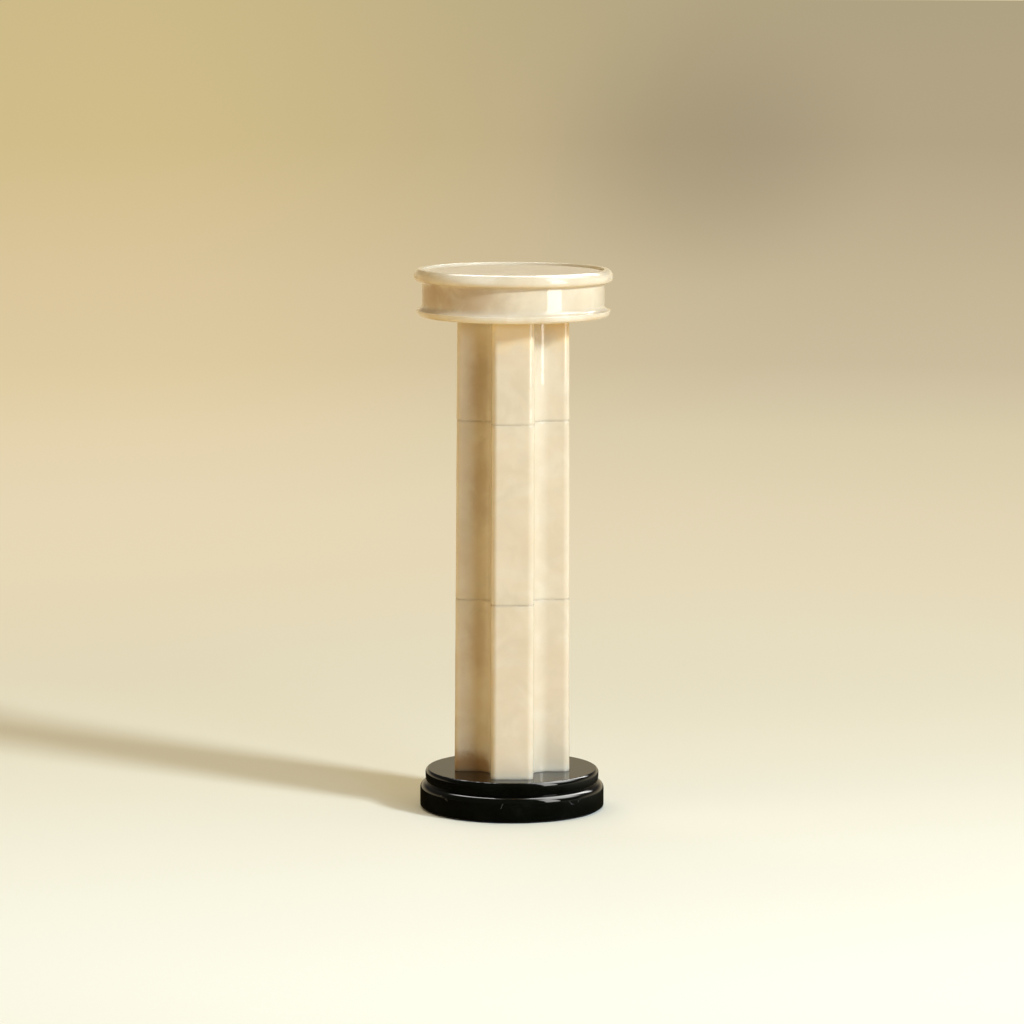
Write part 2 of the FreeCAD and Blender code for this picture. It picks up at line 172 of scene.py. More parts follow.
def moulding(tip, end):
    """Arc from tip to end, upright at the tip.

    Its centre is level with the tip, and its radius is (across squared + up squared) over twice
    across, where across and up lead from the tip to the end.
    """
    across, up = end[0] - tip[0], end[1] - tip[1]
    radius = (across ** 2 + up ** 2) / (2 * abs(across))
    angle = np.linspace(0, math.atan2(abs(up), radius - abs(across)), ARC_STEPS + 1)
    return np.column_stack([
        tip[0] + np.sign(across) * radius * (1 - np.cos(angle)),
        tip[1] + np.sign(up) * radius * np.sin(angle),
    ])


# ---------------------------------------------------------------- turned stones

def turned(name, runs, material):
    """A turned stone: its profile of (radius, height) points, swept round the column's axis.

    Point (i, j) is (r cos a, r sin a, h) for profile point j and angle a = i / steps of a turn.
    """
    profile = np.vstack(runs)
    angle = np.linspace(0, 2 * math.pi, TURNED_STEPS, endpoint=False)[:, None]
    points = np.stack([
        profile[:, 0] * np.cos(angle),
        profile[:, 0] * np.sin(angle),
        np.broadcast_to(profile[:, 1], (TURNED_STEPS, len(profile))),
    ], axis=-1)
    piece = add_piece(name, closed_grid(points, name), material, name)
    ease_edges(piece, EDGE_EASE)
    return piece


def lower_disc(material):
    """Lower tier of the base: an upright side under a rounded shoulder."""
    foot, head = level("base_lower_disc", 0), level("base_lower_disc", 1)
    radius = reach("base_lower_disc")
    shoulder = moulding((radius, head - SHOULDER_DROP), (radius - SHOULDER_INSET, head))
    turned("base_lower_disc", [
        [(POCKET_RADIUS, foot), (radius - LOWER_DISC_CHAMFER, foot)],
        [(radius, foot + LOWER_DISC_CHAMFER)],
        shoulder,
        [(BORE_RADIUS, head), (BORE_RADIUS, level("bottom_fibre_washer", 1))],
        [(POCKET_RADIUS, level("bottom_fibre_washer", 1))],
    ], material)


def upper_disc(material):
    """Upper tier of the base: a side that swells from its foot and rolls over at the top."""
    foot, head = level("base_upper_disc", 0), level("base_upper_disc", 1)
    radius = reach("base_upper_disc")
    widest = (radius, foot + UPPER_DISC_FOOT_HEIGHT)
    turned("base_upper_disc", [
        [(BORE_RADIUS, foot)],
        moulding(widest, (radius - UPPER_DISC_FOOT_INSET, foot))[::-1],
        moulding(widest, (radius - TOP_EDGE_INSET, head))[1:],
        [(BORE_RADIUS, head)],
    ], material)


def capital(material):
    """Capital: rounded lip, hollow, plain band, small hollow, bead and slope up to the crest."""
    foot, head = level("capital", 0), level("capital", 1)
    lip, rim = BAND_RADIUS + LIP_OVERHANG, BAND_RADIUS + RIM_OVERHANG
    lip_top = foot + LIP_HEIGHT + LIP_EDGE
    band_foot = lip_top + COVE_HEIGHT
    band_head = band_foot + BAND_HEIGHT
    rim_foot = band_head + RIM_COVE
    rim_tip = (rim, rim_foot + BEAD_HEIGHT)
    recess_floor = level("capital_inlay_disc", 0)
    pocket_floor = level("top_fibre_washer", 0)
    turned("capital", [
        [(BORE_RADIUS, foot)],
        moulding((lip, foot + LIP_HEIGHT), (lip - LIP_INSET, foot))[::-1],
        moulding((BAND_RADIUS, band_foot), (lip, lip_top))[::-1],
        moulding((BAND_RADIUS, band_head), (BAND_RADIUS + RIM_COVE, rim_foot)),
        moulding(rim_tip, (rim - BEAD_INSET, rim_foot))[::-1],
        moulding(rim_tip, (rim - CREST_INSET, head))[1:],
        moulding((RECESS_RADIUS, head - CREST_EDGE), (RECESS_RADIUS + CREST_EDGE, head))[::-1],
        [(RECESS_RADIUS, recess_floor), (POCKET_RADIUS, recess_floor)],
        [(POCKET_RADIUS, pocket_floor), (BORE_RADIUS, pocket_floor)],
    ], material)


def inlay(material):
    """Flat disc in the capital's recess, with a chamfered upper edge."""
    foot, head = level("capital_inlay_disc", 0), level("capital_inlay_disc", 1)
    radius = reach("capital_inlay_disc")
    piece = turned("capital_inlay_disc", [
        [(0, foot), (radius, foot), (radius, head - INLAY_CHAMFER)],
        [(radius - INLAY_CHAMFER, head), (0, head)],
    ], material)
    # the points that meet on the axis become one pole at each end, before the edges are eased
    weld = piece.modifiers.new("poles", "WELD")
    weld.merge_threshold = 1e-6
    piece.modifiers.move(1, 0)


# ---------------------------------------------------------------- shaft

def cross_outline(side, front, half, inset):
    """Outline of the cross, once round from the +X axis, and its outward directions.

    A quarter runs: half of the side arm's end, its corner arc, the arm's flank, the hollow root
    arc, the other flank, the corner arc and half of the front arm's end.  The arcs' centres stay
    where they are when the outline is drawn in by inset, so corners shrink and roots grow by it.
    side, front, half and inset are columns of one value for each row.
    """
    turn = np.linspace(0, math.pi / 2, ARC_STEPS + 1)
    share = np.linspace(0, 1, FACE_STEPS + 2)[1:-1]
    corner, root = ARM_CORNER_RADIUS - inset, ARM_ROOT_RADIUS + inset
    side_x, half_y = side - ARM_CORNER_RADIUS, half - ARM_CORNER_RADIUS
    root_x = half + ARM_ROOT_RADIUS
    front_y = front - ARM_CORNER_RADIUS
    flat = np.ones_like(share)
    arc_x, arc_y = np.cos(turn), np.sin(turn)
    still = np.zeros_like(share)

    x = np.hstack([
        side * np.ones((1, 1)) - inset, (side - inset) * flat, side_x + corner * arc_x,
        side_x + (root_x - side_x) * share, root_x - root * arc_y,
        (half - inset) * flat, half_y + corner * arc_x,
        half_y * (1 - share),
    ])
    y = np.hstack([
        0 * side, half_y * share, half_y + corner * arc_y,
        (half - inset) * flat, root_x - root * arc_x,
        root_x + (front_y - root_x) * share, front_y + corner * arc_y,
        (front - inset) * flat,
    ])
    along_x = np.hstack([[1], flat, arc_x, still, arc_y, flat, arc_x, still])
    along_y = np.hstack([[0], still, arc_y, flat, arc_x, still, arc_y, flat])
    along_x = np.broadcast_to(along_x, x.shape)
    along_y = np.broadcast_to(along_y, y.shape)
    top = np.stack([0 * half, front - inset], axis=-1)
    up = np.broadcast_to([0.0, 1.0], top.shape)

    quarter = np.stack([x, y], axis=-1)
    outward = np.stack([along_x, along_y], axis=-1)
    upper = np.concatenate([quarter, top, quarter[:, :0:-1] * (-1, 1)], axis=1)
    upper_out = np.concatenate([outward, up, outward[:, :0:-1] * (-1, 1)], axis=1)
    return (
        np.concatenate([upper, -upper], axis=1),
        np.concatenate([upper_out, -upper_out], axis=1),
    )


def shaft_outline(height, inset):
    """The shaft's outline and outward directions, a row at each height, drawn in by its inset."""
    share = ((height - SHAFT_FOOT) / (SHAFT_HEAD - SHAFT_FOOT))[:, None]
    side, front, half = (
        ends[0] + (ends[1] - ends[0]) * share for ends in (SIDE_REACH, FRONT_REACH, ARM_HALF_WIDTH)
    )
    return cross_outline(side, front, half, inset[:, None])


def stacked(outline, height, name):
    """A closed mesh from the outlines at their heights."""
    points = np.concatenate([
        outline, np.broadcast_to(height[:, None, None], outline.shape[:2] + (1,))
    ], axis=-1)
    return closed_grid(points.transpose(1, 0, 2), name)


def polishing_waves(x, y, z, block):
    """Slow hollows left by hand polishing, from 0 to 1: three crossed sine waves."""
    waves = (
        np.sin(2 * math.pi * (z / 0.061 + x / 0.095) + 1.7 * block)
        + np.sin(2 * math.pi * (z / 0.093 - y / 0.080) + 2.9 * block)
        + np.sin(2 * math.pi * (z / 0.037 + y / 0.120 - x / 0.110) + 0.6 * block)
    )
    return 0.5 + waves / 6


def drum(name, material):
    """One drum of the shaft.

    Rows follow a loop: out across the underside from the bore, round the lower rim, up the
    faces, round the upper rim and back to the bore.  Each row is the cross's outline at its
    height, drawn in round the rims along a quarter circle, or part of the way to the bore.
    """
    foot, head = level(name, 0), level(name, 1)
    rim = np.linspace(0, math.pi / 2, ARC_STEPS // 2 + 1)
    rim_in = JOINT_ROUND * (1 - np.sin(rim))
    rim_up = JOINT_ROUND * (1 - np.cos(rim))
    rise = np.linspace(foot + JOINT_ROUND, head - JOINT_ROUND, DRUM_ROWS + 1)[1:-1]
    to_bore = np.array([1.0, 0.6, 0.25, 0.06])      # share of the way in, of the end's own rows
    height = np.hstack([
        foot + 0 * to_bore, foot + rim_up, rise, head - rim_up[::-1], head + 0 * to_bore
    ])
    inset = np.hstack([
        JOINT_ROUND + 0 * to_bore, rim_in, 0 * rise, rim_in[::-1], JOINT_ROUND + 0 * to_bore
    ])
    still = np.zeros(len(rise) + 2 * len(rim))
    inwards = np.hstack([to_bore, still, to_bore[::-1]])[:, None, None]

    outline, outward = shaft_outline(height, inset)
    hollow = polishing_waves(outline[..., 0], outline[..., 1], height[:, None], BLOCKS[name])
    outline = outline - POLISHING_HOLLOW * hollow[..., None] * outward
    circle = outline / np.linalg.norm(outline, axis=-1, keepdims=True) * BORE_RADIUS
    outline = outline + (circle - outline) * inwards
    piece = add_piece(name, stacked(outline, height, name), material, name)
    piece.modifiers.new("even_shading", "WEIGHTED_NORMAL")


def resin(name, height, film, material):
    """The film of resin pressed out of a joint at a height, wiped off just short of the faces.

    A loop of five points round the joint: inside the stones below it, the lower and the upper
    edge of the film with a slight hollow between them, and inside the stones above it.
    """
    low, high, edge = film
    rise = height + np.array([0.4 * low, low, (low + high) / 2, high, 0.4 * high])
    inset = np.array([FILM_ROOT_INSET, edge, edge + FILM_HOLLOW, edge, FILM_ROOT_INSET])
    outline = shaft_outline(rise, inset + POLISHING_HOLLOW / 2)[0]
    add_piece(name, stacked(outline, rise, name), material, None)


# ---------------------------------------------------------------- node helpers

def add(tree, kind, sockets=None, **settings):
    """Add a node: settings are its own properties, and sockets gives its inputs, by name or
    number, a value or another node's output."""
    node = tree.nodes.new(kind)
    for name, value in settings.items():
        setattr(node, name, value)
    for name, value in (sockets or {}).items():
        if isinstance(value, bpy.types.NodeSocket):
            tree.links.new(value, node.inputs[name])
        else:
            node.inputs[name].default_value = value
    return node


def maths(tree, operation, *values, clamp=False):
    """The result of one Math node."""
    inputs = dict(enumerate(values))
    node = add(tree, "ShaderNodeMath", inputs, operation=operation, use_clamp=clamp)
    return node.outputs[0]


def vectors(tree, operation, *values):
    """The vector that one Vector Math node gives."""
    node = add(tree, "ShaderNodeVectorMath", dict(enumerate(values)), operation=operation)
    return node.outputs["Vector"]


def scaled(tree, vector, factor):
    """A vector times a number."""
    node = add(tree, "ShaderNodeVectorMath", {0: vector, "Scale": factor}, operation="SCALE")
    return node.outputs["Vector"]


def measure(tree, operation, *values):
    """The number that one Vector Math node gives."""
    node = add(tree, "ShaderNodeVectorMath", dict(enumerate(values)), operation=operation)
    return node.outputs["Value"]


def blend_colours(tree, share, first, second):
    """First colour at share 0, second at share 1."""
    node = add(tree, "ShaderNodeMix", {0: share, 6: first, 7: second}, data_type="RGBA")
    return node.outputs[2]


def spread(tree, value, low, high, to_low=0.0, to_high=1.0):
    """Value from low..high laid over to_low..to_high, smooth at both ends."""
    node = add(tree, "ShaderNodeMapRange", {
        "Value": value, "From Min": low, "From Max": high, "To Min": to_low, "To Max": to_high,
    }, interpolation_type="SMOOTHSTEP")
    return node.outputs["Result"]


def colour_ramp(tree, value, stops):
    """Colour at value between (place, colour) stops."""
    node = add(tree, "ShaderNodeValToRGB", {"Fac": value})
    ramp = node.color_ramp
    for place, colour in stops[1:-1]:
        ramp.elements.new(place).color = colour
    for element, (place, colour) in ((ramp.elements[0], stops[0]), (ramp.elements[-1], stops[-1])):
        element.position = place
        element.color = colour
    return node.outputs["Color"]


def noise(tree, position, scale, detail=3.0, roughness=0.5, distortion=0.0):
    """Value of a noise, 0 to 1, at position; scale is in features per metre."""
    node = add(tree, "ShaderNodeTexNoise", {
        "Vector": position, "Scale": scale, "Detail": detail,
        "Roughness": roughness, "Distortion": distortion,
    })
    return node.outputs["Fac"]


def new_group(name, inputs, outputs):
    """A shader node group with named sockets: its tree, its inputs and its output node."""
    group = bpy.data.node_groups.new(name, "ShaderNodeTree")
    for label, kind, value in inputs:
        socket = group.interface.new_socket(label, in_out="INPUT", socket_type=kind)
        if value is not None:
            socket.default_value = value
    for label, kind in outputs:
        group.interface.new_socket(label, in_out="OUTPUT", socket_type=kind)
    given = group.nodes.new("NodeGroupInput").outputs
    return group, given, group.nodes.new("NodeGroupOutput")


def use_group(tree, group, sockets):
    """Place a group in a tree and return its outputs."""
    return add(tree, "ShaderNodeGroup", sockets, node_tree=group).outputs


def new_material(name):
    """A material with one Principled BSDF: its tree and the shader node."""
    material = bpy.data.materials.new(name)
    material.use_nodes = True
    tree = material.node_tree
    return material, tree, tree.nodes["Principled BSDF"]


def object_position(tree):
    """Position in the object's own metres."""
    return add(tree, "ShaderNodeTexCoord").outputs["Object"]


def attribute(tree, name):
    """A number kept on the mesh."""
    return add(tree, "ShaderNodeAttribute", attribute_name=name).outputs["Fac"]


def finish_surface(tree, shader, colour, roughness, bump):
    """Give the shader its colour, its roughness and a bump with these inputs."""
    tree.links.new(colour, shader.inputs["Base Color"])
    tree.links.new(roughness, shader.inputs["Roughness"])
    normal = add(tree, "ShaderNodeBump", bump).outputs["Normal"]
    tree.links.new(normal, shader.inputs["Normal"])


def speckled(tree, grain, low, high):
    """Roughness from low to high with the speckle of the grain."""
    return spread(tree, grain["Speckle"], 0.0, 1.0, low, high)


FLOAT = "NodeSocketFloat"
VECTOR = "NodeSocketVector"
VEIN_WAVER = 0.0022


# ---------------------------------------------------------------- effects shared by materials

def make_cloud_group():
    """Cloudy stone: soft patches, slower bands across them and thin branching veins."""
    group, given, result = new_group(
        "cloudy_stone",
        [
            ("Position", VECTOR, None), ("Block", FLOAT, 0.0), ("Patches per Metre", FLOAT, 45.0),
            ("Bands per Metre", FLOAT, 22.0), ("Vein Width", FLOAT, 0.02),
        ],
        [("Patches", FLOAT), ("Bands", FLOAT), ("Veins", FLOAT)],
    )
    shift = scaled(group, (0.31, 0.17, 0.23), given["Block"])
    place = vectors(group, "ADD", given["Position"], shift)
    patches = noise(group, place, given["Patches per Metre"], 4.0, 0.55, 0.7)
    slanted = add(group, "ShaderNodeMapping", {
        "Vector": place, "Rotation": (0.5, -0.35, 0.4), "Scale": (1.0, 1.0, 2.2),
    }).outputs["Vector"]
    bands = noise(group, slanted, given["Bands per Metre"], 3.0, 0.5, 1.4)
    ridge = noise(group, slanted, 31.0, 5.0, 0.6, 1.1)
    away = maths(group, "ABSOLUTE", maths(group, "SUBTRACT", ridge, 0.5))
    lines = spread(group, away, given["Vein Width"], 0.0)
    sparse = spread(group, noise(group, place, 17.0, 2.0), 0.52, 0.66)
    group.links.new(spread(group, patches, 0.3, 0.7), result.inputs["Patches"])
    group.links.new(spread(group, bands, 0.32, 0.68), result.inputs["Bands"])
    group.links.new(maths(group, "MULTIPLY", lines, sparse), result.inputs["Veins"])
    return group


def make_polish_group():
    """Hand polish: faint waves and hairline scratches as a height, and duller smears."""
    group, given, result = new_group(
        "hand_polish",
        [("Position", VECTOR, None), ("Waves", FLOAT, 1.0), ("Smears", FLOAT, 1.0)],
        [("Height", FLOAT), ("Dullness", FLOAT)],
    )
    waves = noise(group, given["Position"], 90.0, 2.0, 0.4, 0.3)
    stretched = add(group, "ShaderNodeMapping", {
        "Vector": given["Position"], "Rotation": (0.3, 0.2, 0.7), "Scale": (900.0, 900.0, 60.0),
    }).outputs["Vector"]
    scratches = spread(group, noise(group, stretched, 1.0, 2.0, 0.6), 0.62, 0.80)
    height = maths(group, "MULTIPLY", waves, given["Waves"])
    height = maths(group, "SUBTRACT", height, maths(group, "MULTIPLY", scratches, 0.04))
    smears = spread(group, noise(group, given["Position"], 38.0, 4.0, 0.6, 0.8), 0.42, 0.78)
    smears = maths(group, "MULTIPLY", smears, given["Smears"])
    dullness = maths(group, "ADD", smears, maths(group, "MULTIPLY", scratches, 0.25))
    group.links.new(height, result.inputs["Height"])
    group.links.new(dullness, result.inputs["Dullness"])
    return group


def make_grain_group():
    """Fine grain: two sizes of speckle as a height and as a lighter-or-darker mask."""
    group, given, result = new_group(
        "fine_grain",
        [("Position", VECTOR, None), ("Grains per Metre", FLOAT, 2500.0)],
        [("Height", FLOAT), ("Speckle", FLOAT)],
    )
    fine = noise(group, given["Position"], given["Grains per Metre"], 3.0, 0.65)
    tenth = maths(group, "MULTIPLY", given["Grains per Metre"], 0.1)
    coarse = noise(group, given["Position"], tenth, 2.0, 0.5)
    height = maths(group, "ADD", maths(group, "MULTIPLY", fine, 0.7), coarse)
    group.links.new(height, result.inputs["Height"])
    group.links.new(spread(group, coarse, 0.35, 0.65), result.inputs["Speckle"])
    return group


def make_short_vein_group():
    """A short crystal vein: a wavering line from Start to End that fades at its ends.

    The mask is 1 on the line and 0 from Width away.  The line wavers by up to half of VEIN_WAVER.
    """
    group, given, result = new_group(
        "short_vein",
        [
            ("Position", VECTOR, None), ("Start", VECTOR, (0.0, 0.0, 0.0)),
            ("End", VECTOR, (0.0, 0.0, 0.01)), ("Width", FLOAT, 0.0003),
        ],
        [("Mask", FLOAT)],
    )
    wander = add(group, "ShaderNodeTexNoise", {
        "Vector": given["Position"], "Scale": 420.0, "Detail": 2.0,
    }).outputs["Color"]
    wander = scaled(group, vectors(group, "SUBTRACT", wander, (0.5, 0.5, 0.5)), VEIN_WAVER)
    place = vectors(group, "ADD", given["Position"], wander)
    along = vectors(group, "SUBTRACT", given["End"], given["Start"])
    from_start = vectors(group, "SUBTRACT", place, given["Start"])
    share = maths(
        group, "DIVIDE", measure(group, "DOT_PRODUCT", from_start, along),
        measure(group, "DOT_PRODUCT", along, along), clamp=True,
    )
    nearest = scaled(group, along, share)
    gap = measure(group, "LENGTH", vectors(group, "SUBTRACT", from_start, nearest))
    line = spread(group, gap, given["Width"], 0.0)
    fade = maths(group, "MULTIPLY", share, maths(group, "SUBTRACT", 1.0, share))
    fade = spread(group, fade, 0.0, 0.16)
    patchy = spread(group, noise(group, given["Position"], 700.0, 2.0), 0.35, 0.60)
    mask = maths(group, "MULTIPLY", maths(group, "MULTIPLY", line, fade), patchy)
    group.links.new(mask, result.inputs["Mask"])
    return group


def make_patch_group():
    """A soft patch of another colour, for a different stone or for painted shade or light: 1 at
    Centre, 0 at Size away, with a wavering outline.
    """
    group, given, result = new_group(
        "placed_patch",
        [
            ("Position", VECTOR, None), ("Centre", VECTOR, (0.0, 0.0, 0.0)),
            ("Size", VECTOR, (0.01, 0.01, 0.01)),
        ],
        [("Mask", FLOAT)],
    )
    away = vectors(group, "SUBTRACT", given["Position"], given["Centre"])
    away = vectors(group, "DIVIDE", away, given["Size"])
    waver = maths(group, "SUBTRACT", noise(group, given["Position"], 110.0, 3.0, 0.5, 0.5), 0.5)
    away = maths(group, "ADD", measure(group, "LENGTH", away), waver)
    group.links.new(spread(group, away, 0.25, 1.0, 1.0, 0.0), result.inputs["Mask"])
    return group


CLOUDS = make_cloud_group()
PATCH = make_patch_group()
POLISH = make_polish_group()
GRAIN = make_grain_group()
SHORT_VEIN = make_short_vein_group()


# ---------------------------------------------------------------- materials

# brown, both for brown stone and for painted shade
STONE_AND_SHADE_BROWN = (0.420, 0.240, 0.095, 1)
# painted warm light, standing in for the warm light in the capital's shadow
PAINTED_WARM_LIGHT_HONEY = (0.920, 0.700, 0.365, 1)
# painted light, paler than the onyx
PAINTED_LIGHT_PALE = (0.870, 0.800, 0.660, 1)
# centre, reach along each axis and strength of each patch of another colour in the onyx. Of the
# brown ones, the first is painted shade low on the left arm just above the black base, the next
# three are painted shade in the left arm's inner corner by the front arm, the next two are painted
# shade on the left and front left of the capital's band, and the last three, at the back, are
# brown stone.
BROWN_STONE_AND_SHADE_PATCHES = (
    ((-0.0220, -0.0120, 0.0220), (0.0340, 0.0100, 0.0155), 0.90),
    ((-0.0180, -0.0120, 0.2350), (0.0100, 0.0080, 0.0300), 0.35),
    ((-0.0170, -0.0120, 0.1800), (0.0090, 0.0080, 0.0320), 0.30),
    ((-0.0180, -0.0120, 0.0950), (0.0090, 0.0080, 0.0300), 0.25),
    ((-0.0450, -0.0225, 0.2865), (0.0300, 0.0300, 0.0120), 0.60),
    ((-0.0200, -0.0460, 0.2865), (0.0260, 0.0200, 0.0110), 0.36),
    ((0.0150, 0.0300, 0.2200), (0.0120, 0.0090, 0.0300), 0.25),
    ((-0.0120, 0.0340, 0.0700), (0.0110, 0.0090, 0.0260), 0.25),
    ((0.0440, 0.0240, 0.2860), (0.0120, 0.0200, 0.0080), 0.30),
)
# painted warm light in the capital's shadow, on the tops of the front and right arms just under it
PAINTED_WARM_LIGHT_PATCHES = (
    ((0.0000, -0.0350, 0.2710), (0.0320, 0.0120, 0.0170), 0.52),
    ((0.0270, -0.0120, 0.2710), (0.0220, 0.0110, 0.0170), 0.65),
)
# painted light on the capital's lip at the front left and front right, and on the left of its rim
PAINTED_LIGHT_PATCHES = (
    ((-0.0180, -0.0480, 0.2742), (0.0420, 0.0200, 0.0050), 0.80),
    ((0.0280, -0.0440, 0.2742), (0.0300, 0.0200, 0.0050), 0.60),
    ((-0.0300, -0.0460, 0.2975), (0.0380, 0.0260, 0.0055), 0.80),
)


def patched(tree, position, cream, colour, patches):
    """The cream colour with patches of another colour laid over it."""
    for centre, size, strength in patches:
        sockets = {"Position": position, "Centre": centre, "Size": size}
        share = maths(tree, "MULTIPLY", use_group(tree, PATCH, sockets)["Mask"], strength)
        cream = blend_colours(tree, share, cream, colour)
    return cream


def make_onyx():
    """Cream onyx, polished: cloudy, faintly banded, and lit a little from within."""
    material, tree, shader = new_material("onyx")
    position = object_position(tree)
    clouds = use_group(tree, CLOUDS, {
        "Position": position, "Block": attribute(tree, "block"), "Patches per Metre": 48.0,
        "Bands per Metre": 24.0, "Vein Width": 0.018,
    })
    cream = blend_colours(
        tree, clouds["Patches"], (0.700, 0.597, 0.418, 1), (0.785, 0.681, 0.496, 1)
    )
    warm = maths(tree, "MULTIPLY", clouds["Bands"], 0.45)
    cream = blend_colours(tree, warm, cream, (0.740, 0.592, 0.398, 1))
    # brown stone, and painted shade low on the left arm, in its inner corner and on the left of
    # the capital's band
    cream = patched(tree, position, cream, STONE_AND_SHADE_BROWN, BROWN_STONE_AND_SHADE_PATCHES)
    # painted warm light under the capital
    cream = patched(tree, position, cream, PAINTED_WARM_LIGHT_HONEY, PAINTED_WARM_LIGHT_PATCHES)
    # painted light on the capital's lip and on the left of its rim
    cream = patched(tree, position, cream, PAINTED_LIGHT_PALE, PAINTED_LIGHT_PATCHES)
    vein = maths(tree, "MULTIPLY", clouds["Veins"], 0.15)
    cream = blend_colours(tree, vein, cream, (0.70, 0.53, 0.34, 1))
    polish = use_group(tree, POLISH, {"Position": position, "Waves": 1.0, "Smears": 1.0})
    roughness = spread(tree, polish["Dullness"], 0.0, 1.0, 0.012, 0.040)
    bump = {"Height": polish["Height"], "Strength": 0.25, "Distance": 0.0001}
    finish_surface(tree, shader, cream, roughness, bump)
    shader.inputs["IOR"].default_value = 1.5
    shader.inputs["Subsurface Weight"].default_value = 0.4
    shader.inputs["Subsurface Radius"].default_value = (1.0, 0.85, 0.70)
    shader.inputs["Subsurface Scale"].default_value = 0.005
    return material


def make_resin():
    """Polyester resin tinted to match the onyx that it joins, wiped smooth."""
    material, tree, shader = new_material("joint_resin")
    position = object_position(tree)
    grain = use_group(tree, GRAIN, {"Position": position, "Grains per Metre": 1500.0})
    cream = blend_colours(
        tree, grain["Speckle"], (0.640, 0.530, 0.370, 1), (0.700, 0.590, 0.420, 1)
    )
    # painted shade from the foot of the left arm, carried onto the resin there
    cream = patched(tree, position, cream, STONE_AND_SHADE_BROWN, BROWN_STONE_AND_SHADE_PATCHES[:1])
    roughness = speckled(tree, grain, 0.25, 0.35)
    bump = {"Height": grain["Height"], "Strength": 0.3, "Distance": 0.00003}
    finish_surface(tree, shader, cream, roughness, bump)
    return material


def make_inlay_stone():
    """The same onyx left at a satin finish."""
    material, tree, shader = new_material("inlay_stone")
    position = object_position(tree)
    clouds = use_group(tree, CLOUDS, {
        "Position": position, "Block": attribute(tree, "block"), "Patches per Metre": 40.0,
        "Bands per Metre": 20.0, "Vein Width": 0.02,
    })
    cream = blend_colours(
        tree, clouds["Patches"], (0.570, 0.482, 0.346, 1), (0.636, 0.540, 0.393, 1)
    )
    vein = maths(tree, "MULTIPLY", clouds["Veins"], 0.25)
    cream = blend_colours(tree, vein, cream, (0.62, 0.50, 0.34, 1))
    grain = use_group(tree, GRAIN, {"Position": position, "Grains per Metre": 3000.0})
    roughness = speckled(tree, grain, 0.50, 0.60)
    bump = {"Height": grain["Height"], "Strength": 0.25, "Distance": 0.00004}
    finish_surface(tree, shader, cream, roughness, bump)
    shader.inputs["Specular IOR Level"].default_value = 0.08
    return material


# start, end and half width of each short vein in the marble
MARBLE_VEINS = (
    ((-0.0062, -0.0507, 0.0085), (-0.0046, -0.0507, 0.0115), 0.00030),
    ((-0.0405, -0.0312, 0.0118), (-0.0350, -0.0371, 0.0104), 0.00040),
    ((0.0305, -0.0410, 0.0112), (0.0340, -0.0382, 0.0082), 0.00045),
    ((0.0360, -0.0363, 0.0090), (0.0378, -0.0344, 0.0110), 0.00030),
    ((-0.0245, -0.0290, 0.02195), (-0.0205, -0.0350, 0.02195), 0.00040),
    ((0.0120, 0.0497, 0.0060), (0.0190, 0.0474, 0.0105), 0.00040),
    ((-0.0504, 0.0080, 0.0050), (-0.0502, 0.0110, 0.0100), 0.00035),
    ((0.0330, 0.0200, 0.02195), (0.0240, 0.0290, 0.02195), 0.00035),
    ((-0.0150, 0.0458, 0.0180), (-0.0200, 0.0438, 0.0160), 0.00030),
)


def make_marble():
    """Black marble with a mirror polish, a few short white veins and a little haze."""
    material, tree, shader = new_material("black_marble")
    position = object_position(tree)
    veins = None
    for start, end, width in MARBLE_VEINS:
        mask = use_group(tree, SHORT_VEIN, {
            "Position": position, "Start": start, "End": end, "Width": width,
        })["Mask"]
        veins = mask if veins is None else maths(tree, "MAXIMUM", veins, mask)
    clouds = use_group(tree, CLOUDS, {
        "Position": position, "Block": attribute(tree, "block"), "Patches per Metre": 60.0,
        "Bands per Metre": 30.0, "Vein Width": 0.012,
    })
    black = blend_colours(
        tree, clouds["Patches"], (0.0008, 0.0012, 0.0006, 1), (0.0028, 0.0034, 0.0024, 1)
    )
    faint = maths(tree, "MULTIPLY", clouds["Veins"], 0.02)
    black = blend_colours(tree, faint, black, (0.20, 0.20, 0.18, 1))
    bright = maths(tree, "MULTIPLY", veins, 0.30)
    black = blend_colours(tree, bright, black, (0.36, 0.36, 0.33, 1))
    polish = use_group(tree, POLISH, {"Position": position, "Waves": 0.5, "Smears": 0.8})
    roughness = spread(tree, polish["Dullness"], 0.0, 1.0, 0.05, 0.11)
    roughness = maths(tree, "ADD", roughness, maths(tree, "MULTIPLY", veins, 0.15))
    bump = {"Height": polish["Height"], "Strength": 0.25, "Distance": 0.0001}
    finish_surface(tree, shader, black, roughness, bump)
    shader.inputs["IOR"].default_value = 1.5
    return material


def make_steel():
    """Zinc-plated steel: small crystals of slightly different grey under a soft sheen."""
    material, tree, shader = new_material("zinc_steel")
    position = object_position(tree)
    cells = add(tree, "ShaderNodeTexVoronoi", {
        "Vector": position, "Scale": 700.0,
    }).outputs["Color"]
    shade = measure(tree, "DOT_PRODUCT", cells, (0.33, 0.33, 0.33))
    grey = blend_colours(tree, shade, (0.54, 0.55, 0.55, 1), (0.68, 0.68, 0.66, 1))
    grain = use_group(tree, GRAIN, {"Position": position, "Grains per Metre": 4000.0})
    roughness = speckled(tree, grain, 0.26, 0.38)
    bump = {"Height": grain["Height"], "Strength": 0.2, "Distance": 0.00003}
    finish_surface(tree, shader, grey, roughness, bump)
    shader.inputs["Metallic"].default_value = 1.0
    return material


